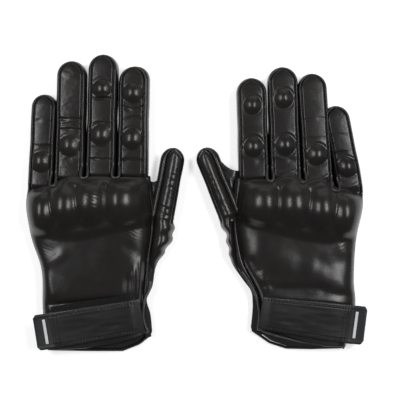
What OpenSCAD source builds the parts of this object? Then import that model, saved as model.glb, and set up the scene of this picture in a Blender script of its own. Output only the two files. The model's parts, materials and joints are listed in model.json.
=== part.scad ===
// A pair of armoured leather motorcycle gloves, lying palm down side by side.
// X runs across the pair, Y from the cuffs to the fingertips, Z up from the surface they lie on.
// Each glove is drawn as a left one about its own hand centre and placed or mirrored into the pair.

/* [Pair] */
// Distance between the two hand centres
pair_spacing = 177; // [172:1:240]

/* [Hand] */
// Width across the knuckles
knuckle_width = 103; // [98:1:124]
// Width at the wrist
wrist_width = 85; // [70:1:102]
// Width of the cuff at its hem
cuff_width = 89; // [74:1:107]
// Length from the index finger's root to the hem
hand_length = 149; // [124:1:180]
// Height of the back of the hand along its middle
crown_height = 22; // [19:0.5:27]
// Radius of the curve of the back across the hand
crown_radius = 167; // [140:1:200]
// How far the left wrist lies towards the thumb
left_wrist_shift = 4.2; // [-6:0.1:6]
// How far the right wrist lies towards the thumb
right_wrist_shift = -4.3; // [-6:0.1:6]
// Length cut off the thumb-side corner of the hem
hem_corner = 15; // [10:1:20]

/* [Leather] */
// Thickness of the outer leather
leather = 1.3; // [1:0.1:1.6]
// Thickness of the lining cloth
lining_cloth = 0.6; // [0.4:0.1:0.8]
// Width of the seam left between two panels of one stall
seam_gap = 0.2; // [0.15:0.05:0.3]
// Space between layers that lie on each other
layer_gap = 0.1; // [0.1:0.05:0.2]
// Space between the hand and the thumb's leather
thumb_clearance = 0.6; // [0.4:0.1:1]

/* [Fingers] */
// Height of a finger stall
finger_height = 17; // [15:0.5:20.5]
// Width of the index stall
index_width = 24.5; // [20:0.5:25]
// Width of the middle stall
middle_width = 24; // [20:0.5:25]
// Width of the ring stall
ring_width = 22.5; // [18.5:0.5:24]
// Width of the little stall
little_width = 20.5; // [17:0.5:22]
// How much narrower a stall is at its tip
stall_taper = 2.6; // [1:0.2:4]
// Index stall from its root to its middle crease
index_base_length = 40; // [33:1:48]
// Middle stall from its root to its middle crease
middle_base_length = 44; // [36:1:53]
// Ring stall from its root to its middle crease
ring_base_length = 41; // [34:1:50]
// Little stall from its root to its middle crease
little_base_length = 33; // [27:1:40]
// Index stall from its middle crease to its tip
index_tip_length = 50.5; // [42:0.5:61]
// Middle stall from its middle crease to its tip
middle_tip_length = 56.5; // [47:0.5:68]
// Ring stall from its middle crease to its tip
ring_tip_length = 58; // [48:0.5:70]
// Little stall from its middle crease to its tip
little_tip_length = 45; // [37:0.5:54]
// Share of the left glove's finger length that the right glove's fingers keep
right_finger_share = 0.92; // [0.88:0.01:1]
// How far the right glove's finger roots lie towards its cuff
right_root_drop = 2.5; // [0:0.5:4]
// Lean of the left index finger towards the thumb
left_index_lean = 1; // [0:0.5:2]
// Lean of the left middle finger
left_middle_lean = 1.4; // [0:0.2:2]
// Lean of the left ring finger
left_ring_lean = 2.2; // [0:0.2:2.4]
// Lean of the left little finger
left_little_lean = 2.6; // [0:0.2:3]
// Lean of the right index finger
right_index_lean = 1.5; // [0:0.5:2]
// Lean of the right middle finger
right_middle_lean = 2; // [0:0.5:2]
// Lean of the right ring finger
right_ring_lean = 3.6; // [2:0.2:4]
// Lean of the right little finger
right_little_lean = 7; // [4:0.5:7.5]

/* [Thumb] */
// Height of the thumb stall
thumb_height = 16; // [14:0.5:19]
// Width of the thumb stall
thumb_width = 20; // [17:0.5:22]
// Thumb stall from its root to its middle crease
thumb_base_length = 28; // [23:1:34]
// Thumb stall from its middle crease to its tip
thumb_tip_length = 31; // [26:1:37]
// Lean of the left thumb away from the fingers
left_thumb_lean = 10.7; // [8:0.1:14]
// Lean of the right thumb away from the fingers
right_thumb_lean = 22; // [18:0.5:24]

/* [Armour] */
// Height of a knuckle hump above the back
hump_rise = 8.5; // [6:0.5:10]
// Widest radius of a knuckle hump
hump_radius = 12; // [10:0.5:12.5]
// Length of a knuckle hump
hump_length = 44; // [38:1:46]
// Thickness of the knuckle guard's shell
guard_shell = 2; // [1.6:0.1:2.4]
// Radius of a finger pad
pad_radius = 7.4; // [6:0.1:8.5]
// Height of a finger pad
pad_height = 4.2; // [3:0.1:5]
// Distance from a finger's middle crease back to its lower pad
pad_setback = 12; // [10:0.5:14.5]
// Distance from a finger's middle crease out to its upper pad
tip_pad_reach = 26; // [20:0.5:30]

/* [Cuff] */
// Width of the wrist strap
strap_width = 28; // [23:1:31]
// Slope of the wrist strap across the cuff
strap_tilt = 8.2; // [6:0.2:10]
// Thickness of the wrist strap
strap_leather = 1.6; // [1.2:0.1:2]
// Length of the leather strap
strap_length = 80; // [72:1:84]
// Length of the rubber pull tab past the strap
tab_length = 13; // [11:1:16]
// Thickness of the rubber pull tab
tab_thickness = 3.2; // [2.6:0.1:4]
// Thickness of the hook tape and of the loop tape
tape_thickness = 1; // [0.8:0.1:1.2]
// Length of the hook tape under the strap
hook_length = 42; // [30:1:45]
// Distance from the hem to the middle of the strap's root
strap_height = 29.5; // [27:0.5:36]
// Width of the binding on the hem
binding_width = 3.5; // [3:0.1:3.8]

/* [Hidden] */
LEFT = 0;
RIGHT = 1;
INDEX = 0;
LITTLE = 3;
THUMB = 4;
SIDES = ["left", "right"];
FINGERS = ["index", "middle", "ring", "little", "thumb"];
PANELS = ["back_panel", "palm_panel", "palm_patch", "outer_side_panel", "inner_side_panel",
    "thenar_panel", "fork_gussets", "knuckle_guard", "lining", "cuff_binding", "loop_patch",
    "wrist_strap", "hook_patch", "strap_tab"];
$fn = 64;

// Steps in each side of the hand's outline, and in the round end of a stall
outline_steps = 9;
tip_steps = 10;
// Gap kept on each side of a crease that bends
crease_gap = 0.5;
// Overshoot of a cutting solid
over = 1;

root_u = [37, 10.4, -15.5, -40, 61.5];
root_v = [24, 24, 20, 13, -12];
stall_width = [index_width, middle_width, ring_width, little_width, thumb_width];
base_length = [index_base_length, middle_base_length, ring_base_length, little_base_length, thumb_base_length];
tip_length = [index_tip_length, middle_tip_length, ring_tip_length, little_tip_length, thumb_tip_length];
lean = [
    [left_index_lean, left_middle_lean, left_ring_lean, left_little_lean, left_thumb_lean],
    [right_index_lean, right_middle_lean, right_ring_lean, right_little_lean, right_thumb_lean]
];
wrist_shift = [left_wrist_shift, right_wrist_shift];
finger_share = [1, right_finger_share];
root_drop = [0, right_root_drop];

hem_v = root_v[INDEX] - hand_length;
crown_z = crown_height - crown_radius;
hump_u = [29, 2, -19.5, -38.5];
hump_end_gap = 3;
hump_arc = (hump_length * hump_length / 4 + hump_radius * hump_radius) / (2 * hump_radius);
strap_root_v = hem_v + strap_height;
strap_end_inset = 1.5;
pad_sphere = (pad_radius * pad_radius + pad_height * pad_height) / (2 * pad_height);

// The strap's layers, as heights above the leather of the back
loop_low = layer_gap;
loop_high = loop_low + tape_thickness;
hook_low = loop_high + 4 * layer_gap;
hook_high = hook_low + tape_thickness;
strap_low = hook_high + layer_gap;
strap_high = strap_low + strap_leather;

// 0 before a, 1 after b and a smooth ease between them
function ease(a, b, x) = let (t = min(1, max(0, (x - a) / (b - a)))) t * t * (3 - 2 * t);

// Half the hand's width, and its middle, at the height v along the hand
wrist_v = hem_v + 62;
function hand_half(v) = (knuckle_width
    + (wrist_width - knuckle_width) * ease(-5, wrist_v, v)
    + (cuff_width - wrist_width) * ease(wrist_v, hem_v, v)) / 2;
function hand_middle(g, v) = wrist_shift[g] * ease(-5, wrist_v, v);

// A finger's root, and a point placed in that finger's own frame: x across it and y along it
function is_thumb(f) = f == THUMB;
function root(g, f) = is_thumb(f)
    ? [root_u[f] - (lean[g][f] - left_thumb_lean) * 0.3, root_v[f] + root_drop[g]]
    : [root_u[f] - max(0, lean[g][f] - left_little_lean) * 0.6, root_v[f] - root_drop[g]];
function from_finger(g, f, p) = root(g, f) + [
    p[0] * cos(lean[g][f]) + p[1] * sin(lean[g][f]),
    -p[0] * sin(lean[g][f]) + p[1] * cos(lean[g][f])];
function share(g, f) = is_thumb(f) ? 1 : finger_share[g];
function joint_y(g, f) = base_length[f] * share(g, f);
function tip_y(g, f) = joint_y(g, f) + tip_length[f] * share(g, f);
function stall_height(f) = is_thumb(f) ? thumb_height : finger_height;

// The pair's reach to each side and to both ends, so that its box is centred on the origin
function strap_root(g) = [hand_middle(g, strap_root_v) + hand_half(strap_root_v) - strap_end_inset, strap_root_v];
function tab_reach(g) = (strap_length + tab_length) * cos(strap_tilt) - strap_root(g)[0]
    - strap_width / 2 * sin(strap_tilt);
function side_reach(g) = max(tab_reach(g), knuckle_width / 2);
pair_middle = (side_reach(RIGHT) - side_reach(LEFT)) / 2;
pair_top = max([for (f = [INDEX:LITTLE]) from_finger(LEFT, f, [0, tip_y(LEFT, f)])[1]]);
pair_y = -(pair_top + hem_v) / 2;

// Puts a left glove's solid in the pair: g is LEFT or RIGHT
module place(g) {
    if (g == LEFT)
        translate([-pair_spacing / 2 - pair_middle, pair_y, 0]) children();
    else
        translate([pair_spacing / 2 - pair_middle, pair_y, 0]) mirror([1, 0, 0]) children();
}

// Puts a solid in a finger's own frame
module at_finger(g, f, y = 0, z = 0) {
    translate([root(g, f)[0], root(g, f)[1], 0])
        rotate([0, 0, -lean[g][f]])
        translate([0, y, z]) children();
}

// Puts a flat outline in the strap's frame: the strap runs along -x from its root
module at_strap(g) {
    translate(strap_root(g)) rotate([0, 0, strap_tilt]) children();
}

// The hand's outline without its fingers, pulled in by inset
module hand_outline(g, inset = 0) {
    sides = [for (i = [0:outline_steps]) 8 - i * (8 - hem_v) / outline_steps];
    thumb_side = [for (v = sides) if (v > hem_v + hem_corner)
        [hand_middle(g, v) + hand_half(v), v]];
    little_side = [for (i = [outline_steps:-1:0]) let (v = sides[i])
        [hand_middle(g, v) - hand_half(v), v]];
    hem = [
        [hand_middle(g, hem_v) + hand_half(hem_v), hem_v + hem_corner],
        [hand_middle(g, hem_v) + hand_half(hem_v) - 1.4 * hem_corner, hem_v]
    ];
    knuckles = [for (f = [LITTLE:-1:INDEX]) for (s = [-1, 1])
        from_finger(g, f, [s * stall_width[f] / 2, -crease_gap])];
    offset(delta = -inset) difference() {
        polygon(concat(thumb_side, hem, little_side, knuckles));
        thumb_notch(g);
    }
}

// Where the thumb lies beside the hand
module thumb_notch(g) {
    reach = thumb_width / 2 + thumb_clearance;
    translate(root(g, THUMB)) rotate(-lean[g][THUMB])
        translate([-reach, -crease_gap - thumb_clearance])
        square([2 * reach, tip_y(g, THUMB)]);
}

// Everything under the curve of the back, with the surface moved out by rise
module under_crown(rise = 0) {
    translate([0, 0, crown_z]) rotate([90, 0, 0])
        cylinder(r = crown_radius + rise, h = 3 * hand_length, center = true, $fn = 256);
}

// A knuckle hump, moved out by rise: a spindle lying along the hand
module hump(g, f, rise = 0) {
    along = root(g, f)[1] - hump_end_gap - hump_length / 2;
    level = crown_z + sqrt(crown_radius * crown_radius - hump_u[f] * hump_u[f]) + hump_rise - hump_radius;
    translate([hump_u[f], along, level]) rotate([90, 0, 0]) rotate_extrude($fn = 48)
        intersection() {
            translate([hump_radius - hump_arc, 0]) circle(r = hump_arc + rise, $fn = 96);
            translate([0, -hump_length]) square([2 * hump_radius, 2 * hump_length]);
        }
}

// The armoured back of the hand as a filled shape, moved out by rise
module back_form(g, rise = 0) {
    under_crown(rise);
    for (f = [INDEX:LITTLE]) hump(g, f, rise);
}

// A prism over a flat outline, tall enough to reach through the hand
module column(low = 0, high = 60) {
    translate([0, 0, low]) linear_extrude(high - low) children();
}

// A sheet that follows the back between two heights above it, over a flat outline
module crown_sheet(low, high) {
    intersection() {
        difference() {
            under_crown(high);
            under_crown(low);
        }
        column() children();
    }
}

// The back of the hand: one leather panel drawn over the knuckle guard
module back_panel(g) {
    color([0.09, 0.085, 0.085]) intersection() {
        difference() {
            back_form(g);
            back_form(g, -leather);
        }
        column(leather) hand_outline(g);
    }
}

// The palm: one flat leather panel
module palm_panel(g) {
    color([0.08, 0.075, 0.075]) translate([0, 0, leather + layer_gap])
        linear_extrude(leather) hand_outline(g);
}

// The second layer of leather sewn under the heel of the hand and the grip
patch_corner = 8;
patch_length = 66;
patch_margin = 9;
module palm_patch(g) {
    core = [wrist_width - 2 * (patch_margin + patch_corner), patch_length - 2 * patch_corner];
    middle_v = root(g, LITTLE)[1] - patch_margin - patch_length / 2;
    color([0.11, 0.10, 0.10]) linear_extrude(leather)
        translate([hand_middle(g, middle_v), middle_v])
        offset(r = patch_corner) square(core, center = true);
}

// The wall of leather between palm and back, along the whole outline
module side_wall(g) {
    low = 2 * (leather + layer_gap);
    intersection() {
        under_crown(-leather - layer_gap);
        column(low) difference() {
            hand_outline(g);
            hand_outline(g, leather);
            finger_mouths(g);
        }
        column(low) children();
    }
}

// The openings from the hand into the finger stalls and out of the cuff
module finger_mouths(g) {
    for (f = [INDEX:LITTLE])
        translate(root(g, f)) rotate(-lean[g][f])
            translate([-stall_width[f] / 2 - 3 * over, -4 * leather])
            square([stall_width[f] + 6 * over, 6 * leather]);
    translate([hand_middle(g, hem_v) - hand_half(hem_v) + leather, hem_v - over])
        square([2 * hand_half(hem_v), leather + layer_gap + over]);
}

module outer_side_panel(g) {
    color([0.10, 0.095, 0.095]) side_wall(g)
        translate([-knuckle_width, hem_v - over]) square([knuckle_width, 2 * hand_length]);
}

// The thumb-side wall, with the window that the thumb goes out through
window_top = 11;
module inner_side_panel(g) {
    color([0.10, 0.095, 0.095]) difference() {
        side_wall(g)
            translate([0, hem_v - over]) square([knuckle_width, 2 * hand_length]);
        translate([0, thenar_low_v + 8, 3 * leather])
            cube([knuckle_width, root(g, THUMB)[1] - thenar_low_v - 8 - 3 * leather, window_top - 3 * leather]);
    }
}

// The ball of the thumb: its outer edge runs from the thumb's root down to the wrist
thenar_low_v = wrist_v + 8;
thenar_swell = [5, -2];
function thenar_edge(g, inset) = let (
    top = from_finger(g, THUMB, [thumb_width / 2 - inset, -crease_gap]),
    low = [hand_middle(g, thenar_low_v) + hand_half(thenar_low_v) + 3 - inset, thenar_low_v])
    [top, (top + low) / 2 + thenar_swell, low];

// The flat outline of the ball of the thumb, beside the hand
module thenar_outline(g) {
    difference() {
        polygon(concat(
            [from_finger(g, THUMB, [-thumb_width / 2, -crease_gap])],
            thenar_edge(g, 0),
            [thenar_edge(g, 0)[2] - [8, 0]]));
        offset(delta = thumb_clearance) hand_outline(g);
    }
}

// The strip of leather along the outer edge of the ball of the thumb
module thenar_wall_outline(g) {
    edge = thenar_edge(g, 0);
    inner = thenar_edge(g, 1.2 * leather);
    difference() {
        polygon([edge[0], edge[1], edge[2], inner[2], inner[1], inner[0]]);
        offset(delta = thumb_clearance) hand_outline(g);
    }
}

module thenar_panel(g) {
    color([0.10, 0.095, 0.095]) {
        for (z = [0, thumb_height - leather])
            translate([0, 0, z]) linear_extrude(leather) thenar_outline(g);
        translate([0, 0, leather + seam_gap])
            linear_extrude(thumb_height - 2 * (leather + seam_gap)) thenar_wall_outline(g);
    }
}

// The little gussets that close the hand between two finger roots
gusset_width = 3;
gusset_length = 6;
module fork_gussets(g) {
    low = 2 * (leather + layer_gap) + lining_cloth + layer_gap;
    color([0.08, 0.075, 0.075]) intersection() {
        under_crown(-guard_under - lining_cloth - layer_gap);
        column(low) for (f = [INDEX:LITTLE - 1]) {
            here = from_finger(g, f, [-stall_width[f] / 2, 0]);
            next = from_finger(g, f + 1, [stall_width[f + 1] / 2, 0]);
            translate([(here[0] + next[0] - gusset_width) / 2, min(here[1], next[1]) - gusset_length - 2 * over])
                square([gusset_width, gusset_length]);
        }
    }
}

// The hard shell over the knuckles, under the leather of the back
guard_length = 30;
guard_margin = 4;
guard_under = leather + layer_gap + guard_shell + layer_gap;
module knuckle_guard(g) {
    color([0.16, 0.16, 0.17]) intersection() {
        difference() {
            back_form(g, -leather - layer_gap);
            back_form(g, -leather - layer_gap - guard_shell);
        }
        column(leather) intersection() {
            hand_outline(g, guard_margin);
            translate([-knuckle_width, root(g, LITTLE)[1] - guard_margin - guard_length])
                square([2 * knuckle_width, guard_length]);
        }
    }
}

// The cloth lining of the hand, a sheet under the back and one over the palm
module lining(g) {
    inset = leather + 5 * layer_gap;
    color([0.05, 0.05, 0.055]) {
        crown_sheet(-guard_under - lining_cloth, -guard_under) hand_outline(g, inset);
        translate([0, 0, 2 * (leather + layer_gap)]) linear_extrude(lining_cloth) hand_outline(g, inset);
    }
}

// The piping sewn round the hem, above the back and below the palm
module cuff_binding(g) {
    color([0.06, 0.06, 0.06]) {
        crown_sheet(layer_gap, leather - layer_gap) hem_band(g);
        linear_extrude(leather) hem_band(g);
    }
}

module hem_band(g) {
    intersection() {
        hand_outline(g);
        translate([-knuckle_width, hem_v - over]) square([2 * knuckle_width, binding_width + over]);
    }
}

// The loop tape sewn to the back of the cuff
tape_margin = 3;
module loop_patch(g) {
    color([0.04, 0.04, 0.045]) crown_sheet(loop_low, loop_high) intersection() {
        hand_outline(g, layer_gap);
        at_strap(g) translate([-strap_length + tape_margin, -strap_width / 2 + tape_margin / 2])
            square([strap_length - tape_margin, strap_width + tape_margin / 2]);
    }
}

// The leather wrist strap, sewn on at its thumb-side end
module wrist_strap(g) {
    color([0.10, 0.095, 0.095]) crown_sheet(strap_low, strap_high)
        at_strap(g) translate([-strap_length, -strap_width / 2]) square([strap_length, strap_width]);
}

// The hook tape under the strap's free end
module hook_patch(g) {
    color([0.04, 0.04, 0.045]) crown_sheet(hook_low, hook_high)
        at_strap(g) translate([-strap_length + tape_margin, -strap_width / 2 + tape_margin])
            square([hook_length, strap_width - 2 * tape_margin]);
}

// The rubber pull tab at the strap's free end
tab_chamfer = 2.5;
module strap_tab(g) {
    end = -strap_length - tab_length;
    half = strap_width / 2;
    color([0.07, 0.07, 0.07]) crown_sheet(hook_low, hook_low + tab_thickness)
        at_strap(g) polygon([
            [-strap_length - layer_gap, -half],
            [-strap_length - layer_gap, half],
            [end + tab_chamfer, half],
            [end, half - tab_chamfer],
            [end, tab_chamfer - half],
            [end + tab_chamfer, -half]
        ]);
}

// The outline of a stall from y = low to y = high, tapering, with a round end where it is a tip
module stall_outline(g, f, low, high, inset = 0, round_end = false) {
    full = tip_y(g, f);
    half_low = (stall_width[f] - stall_taper * max(0, low) / full) / 2 - inset;
    half_high = (stall_width[f] - stall_taper * high / full) / 2 - inset;
    cap = round_end ? 0.9 * half_high : 0;
    end = round_end
        ? [for (i = [0:tip_steps]) let (a = 180 * i / tip_steps)
            [half_high * cos(a), high - cap + cap * sin(a)]]
        : [[half_high, high], [-half_high, high]];
    polygon(concat([[-half_low, low], [half_low, low]], end));
}

// The two long walls of a stall, and its end wall where it is a tip
module stall_walls(g, f, low, high, round_end) {
    wall = stall_height(f) - 2 * (leather + seam_gap);
    at_finger(g, f, 0, leather + seam_gap) linear_extrude(wall) difference() {
        stall_outline(g, f, low, high, 0, round_end);
        if (round_end) {
            stall_outline(g, f, low - over, high - leather, leather, true);
            translate([-stall_width[f], high - 0.75 * stall_width[f] / 2])
                square([2 * stall_width[f], seam_gap]);
        } else
            stall_outline(g, f, low - over, high + over, leather, false);
    }
}

// The back strip and the palm strip of a stall
module stall_strips(g, f, low, high, round_end) {
    for (z = [0, stall_height(f) - leather])
        at_finger(g, f, 0, z) linear_extrude(leather)
            stall_outline(g, f, low, high, 0, round_end);
}

// The part of a stall between the hand and its middle crease
module finger_base(g, f) {
    low = crease_gap;
    high = joint_y(g, f) - crease_gap;
    color([0.10, 0.095, 0.095]) {
        stall_strips(g, f, low, high, false);
        stall_walls(g, f, low, high, false);
    }
}

// The part of a stall beyond its middle crease
module finger_tip(g, f) {
    low = joint_y(g, f) + crease_gap;
    high = tip_y(g, f);
    color([0.10, 0.095, 0.095]) {
        stall_strips(g, f, low, high, true);
        stall_walls(g, f, low, high, true);
    }
}

// A round pad on a finger's back strip
module pad(g, f, y) {
    color([0.12, 0.115, 0.115]) at_finger(g, f, y, finger_height) difference() {
        translate([0, 0, pad_height - pad_sphere]) sphere(r = pad_sphere);
        translate([-2 * pad_sphere, -2 * pad_sphere, -4 * pad_sphere]) cube(4 * pad_sphere);
    }
}

module base_pad(g, f) {
    pad(g, f, joint_y(g, f) - pad_setback);
}

module tip_pad(g, f) {
    pad(g, f, joint_y(g, f) + tip_pad_reach * share(g, f));
}

for (g = [LEFT, RIGHT]) {
    side = SIDES[g];
    place(g) back_panel(g);
    place(g) palm_panel(g);
    place(g) palm_patch(g);
    place(g) outer_side_panel(g);
    place(g) inner_side_panel(g);
    place(g) thenar_panel(g);
    place(g) fork_gussets(g);
    place(g) knuckle_guard(g);
    place(g) lining(g);
    place(g) cuff_binding(g);
    place(g) loop_patch(g);
    place(g) wrist_strap(g);
    place(g) hook_patch(g);
    place(g) strap_tab(g);
    for (f = [INDEX:THUMB]) {
        place(g) finger_base(g, f);
        place(g) finger_tip(g, f);
    }
    for (f = [INDEX:LITTLE])
        place(g) base_pad(g, f);
    for (f = [INDEX:INDEX + 1])
        place(g) tip_pad(g, f);
}
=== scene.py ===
import json
import math
import bmesh
import bpy
from mathutils import Matrix, Vector, noise


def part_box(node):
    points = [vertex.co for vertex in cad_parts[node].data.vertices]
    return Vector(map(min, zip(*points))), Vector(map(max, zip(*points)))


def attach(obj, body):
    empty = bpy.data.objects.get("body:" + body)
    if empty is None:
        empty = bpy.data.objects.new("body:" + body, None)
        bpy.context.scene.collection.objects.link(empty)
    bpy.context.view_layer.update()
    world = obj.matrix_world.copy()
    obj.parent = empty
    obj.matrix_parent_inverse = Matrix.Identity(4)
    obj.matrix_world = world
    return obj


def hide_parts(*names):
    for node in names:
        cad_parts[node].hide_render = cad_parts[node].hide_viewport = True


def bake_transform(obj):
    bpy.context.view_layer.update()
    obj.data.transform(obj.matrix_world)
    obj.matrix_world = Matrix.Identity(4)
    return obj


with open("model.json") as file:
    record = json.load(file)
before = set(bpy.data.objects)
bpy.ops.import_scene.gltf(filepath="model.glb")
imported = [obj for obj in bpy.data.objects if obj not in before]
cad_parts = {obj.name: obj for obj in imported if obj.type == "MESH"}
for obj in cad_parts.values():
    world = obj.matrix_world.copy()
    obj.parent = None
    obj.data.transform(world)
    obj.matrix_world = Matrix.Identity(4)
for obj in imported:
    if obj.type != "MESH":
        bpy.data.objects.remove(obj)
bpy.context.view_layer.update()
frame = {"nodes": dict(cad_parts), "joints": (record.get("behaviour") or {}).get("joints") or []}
mm = 0.001
joints = {joint["name"]: joint for joint in frame["joints"]}
sides = ("left", "right")
fingers = ("index", "middle", "ring", "little")
print("frame loaded:", len(frame["nodes"]), "nodes")


def smooth(low, high, x):
    t = min(1.0, max(0.0, (x - low) / (high - low)))
    return t * t * (3 - 2 * t)


def mix(a, b, t):
    return a + (b - a) * t


def bump(x, width):
    return math.exp(-(x / width) ** 2)


# the value at v of a smooth line through (place, value) pairs, listed from high place to low
def along(points, v):
    if v >= points[0][0]:
        return points[0][1]
    if v <= points[-1][0]:
        return points[-1][1]
    for i in range(len(points) - 1):
        v0, u0 = points[i]
        v1, u1 = points[i + 1]
        if v1 <= v <= v0:
            before = points[max(0, i - 1)]
            after = points[min(len(points) - 1, i + 2)]
            slope0 = (u1 - before[1]) / (v1 - before[0])
            slope1 = (after[1] - u0) / (after[0] - v0)
            t = (v - v0) / (v1 - v0)
            span = v1 - v0
            return (u0 * (2 * t ** 3 - 3 * t ** 2 + 1) + slope0 * span * (t ** 3 - 2 * t ** 2 + t)
                    + u1 * (3 * t ** 2 - 2 * t ** 3) + slope1 * span * (t ** 3 - t ** 2))


# a point at t, 0 to 1, on a smooth line through a few 3-D points
def curve(points, t):
    spans = len(points) - 1
    at = min(spans - 1e-6, max(0.0, t * spans))
    i = int(at)
    f = at - i
    p1, p2 = points[i], points[i + 1]
    p0 = points[i - 1] if i > 0 else p1 * 2 - p2
    p3 = points[i + 2] if i + 2 <= spans else p2 * 2 - p1
    return 0.5 * (2 * p1 + (p2 - p0) * f + (2 * p0 - 5 * p1 + 4 * p2 - p3) * f * f
                  + (3 * p1 - p0 - 3 * p2 + p3) * f ** 3)


# smooth noise from -1 to 1 with bumps about size across
def ripple(x, y, size, seed):
    return noise.noise(Vector((x / size, y / size, seed * 7.31)))


# each glove's lines in its own millimetres: u towards the thumb, v towards the fingertips;
# a hump is its u, v and size, a fold its two ends, width and rise, a patch of wrinkles its u, v, reach and rise
glove = {
    "left": {
        "sign": 1, "rootU": 37.0, "rootV": 24.0,
        "littleSide": ((20, -49.3), (10.4, -50.3), (1, -51.7), (-8, -51.8), (-20, -50.2), (-32, -47.5),
                       (-57, -39.6), (-91, -38.5), (-124, -34.5)),
        "backSeam": ((24, 49.5), (5, 51.6), (-10, 52.6), (-30, 51.4), (-48, 48.6), (-72, 46.5), (-82, 45.6),
                     (-93, 44.2), (-104, 46.4), (-111, 50)),
        "sideSeam": ((24, 51.9), (12, 52.9), (3, 54.6), (-10, 56.2), (-30, 54.8), (-48, 52.2), (-62, 51.6),
                     (-72, 51.4),
                     (-82, 47.2), (-93, 45.6), (-104, 47.8), (-111, 51.5)),
        "thumbSide": ((-30, 71.0), (-42, 64.0), (-54, 56.6), (-71, 53.4), (-82, 48.8), (-94, 51.8),
                      (-109, 53.4)),
        "backHem": ((-34, -122.4), (0, -120.4), (20, -117.0), (36, -112.5), (46, -108.5)),
        "palmHem": ((-34, -124.4), (0, -125.0), (28, -125.0), (42, -119.5), (50, -112.5)),
        "forkArcs": ((50, 23.4, 0.4), (23.4, -2.7, 1.0), (-2.7, -28.8, 1.6), (-28.8, -50, 0.8)),
        "topLine": ((52, 20.6), (20, 20.8), (-2, 20.8), (-16, 20.0), (-28, 16.5), (-40, 11.8), (-52, 10.4)),
        "guardEdge": ((52, -17.0), (41, -18.8), (24, -22.6), (6, -26.5), (-8, -28.8), (-20, -28.8),
                      (-42, -25.0), (-52, -22.0)),
        "humps": ((27.9, 0.0, 12.6), (2.4, -0.8, 12.2), (-19.2, -4.2, 11.4), (-39.4, -8.4, 11.0)),
        "folds": (((39, -54), (38.5, -90), 2.2, 1.1), ((44, -48), (43, -82), 1.6, 0.9),
                  ((34, -60), (33, -88), 3.0, -1.0), ((-36, -85.5), (34, -79.5), 2.6, -1.8),
                  ((-41, -33), (-27, -44), 5.0, -0.3), ((-39, -52), (-16, -41), 4.5, 0.5),
                  ((-30, -44), (20, -66), 10.0, 0.5), ((30, -34), (46, -46), 5.0, -0.5),
                  ((-36, -58), (-28, -80), 5.0, 0.7)),
        "wrinkles": ((8, 4, 11, 0.34), (34, -22, 9, 0.20), (-36, -40, 8, 0.1)),
    },
    "right": {
        "sign": -1, "rootU": 37.0, "rootV": 21.5,
        "littleSide": ((12, -51.9), (4, -52.8), (-8, -52.7), (-32, -47.9), (-66, -46.0), (-84, -47.4),
                       (-106, -45), (-123, -38)),
        "backSeam": ((22, 49.2), (2, 51.2), (-17, 52.6), (-36, 50.4), (-52, 46.4), (-66, 39.0), (-75, 34.6),
                     (-84, 32.4), (-95, 31.6), (-107, 33)),
        "sideSeam": ((22, 53.4), (2, 55.2), (-17, 56.6), (-36, 55.2), (-52, 52.0), (-64, 44.0), (-75, 37.6),
                     (-84, 34.6), (-95, 33.4), (-107, 34.8)),
        "thumbSide": ((-28, 61.5), (-42, 59.0), (-52, 56.0), (-65, 47.2), (-75, 40.2), (-85, 38.9),
                      (-95, 39.3),
                      (-107, 40.6)),
        "backHem": ((-42, -120.0), (-20, -119.0), (0, -116.4), (18, -112.0), (33, -106)),
        "palmHem": ((-40, -122.6), (-10, -123.4), (10, -123.0), (24, -118.5), (38, -109)),
        "forkArcs": ((50, 23.6, 0.6), (23.6, -3.4, 5.2), (-3.4, -31.0, 4.6), (-31.0, -52, 1.2)),
        "topLine": ((52, 18.2), (20, 18.6), (-2, 18.4), (-18, 16.8), (-30, 12.4), (-44, 8.6), (-54, 6.0)),
        "guardEdge": ((52, -14.5), (40, -17.5), (14, -25.0), (-6, -29.2), (-21, -30.8), (-36, -29.4),
                      (-54, -25.5)),
        "humps": ((31.0, -1.6, 13.2), (5.0, -2.4, 12.6), (-18.6, -6.4, 11.8), (-38.4, -10.0, 11.2)),
        "folds": (((40, -36), (2, -56), 10.0, 0.8), ((-2, -54), (-44, -72), 8.0, 0.6),
                  ((-12, -50), (-38, -51), 6.0, -0.4), ((24, -78), (-46, -84.0), 3.0, 0.8),
                  ((26, -71.5), (-24, -71.5), 3.4, -0.7), ((-16, -74), (-44, -77.5), 3.4, -0.5),
                  ((34, -58), (26, -74), 3.6, 0.6), ((42, -46), (32, -64), 3.2, -0.6),
                  ((36, -70), (20, -68), 3.4, -0.5), ((-30, -36), (-48, -46), 5.0, 0.4)),
        "wrinkles": ((-34, -36, 10, 0.12), (26, -68, 8, 0.08)),
    },
}

# heights and widths of the back; a hump's width grows by humpOuter on its outer side
handShape = {"crown": 20.6, "crownCurve": 5.5, "littleEdge": 9.4, "thumbEdge": 11.0, "forkEdge": 14.6,
             "humpRise": 9.0, "humpWidth": 2.2, "humpOuter": 1.9, "humpUp": 20.0, "humpDown": 21.0,
             "humpJoin": 1.0, "guardStep": 3.0, "leather": 1.3, "palmHeight": 0.9,
             "sideLeather": 1.1, "palmLeather": 1.0}

for side in sides:
    start = joints[side + "_index_bend_root"]["pos_m"]
    glove[side]["middleX"] = start[0] / mm - glove[side]["sign"] * glove[side]["rootU"]
    glove[side]["middleY"] = start[1] / mm - glove[side]["rootV"]


# a glove's own millimetres, u towards its thumb and v towards its fingertips, as a point of the pair
def inPair(side, u, v, z):
    here = glove[side]
    return Vector(((here["middleX"] + here["sign"] * u) * mm, (here["middleY"] + v) * mm, z * mm))


def nodesFor(name):
    material = bpy.data.materials.new(name)
    material.use_nodes = True
    tree = material.node_tree
    return material, tree, tree.nodes["Principled BSDF"]


def put(node, **values):
    for key, value in values.items():
        if hasattr(node, key):
            setattr(node, key, value)
        else:
            node.inputs[key.replace("_", " ")].default_value = value
    return node


def add(tree, kind, **values):
    return put(tree.nodes.new(kind), **values)


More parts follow.
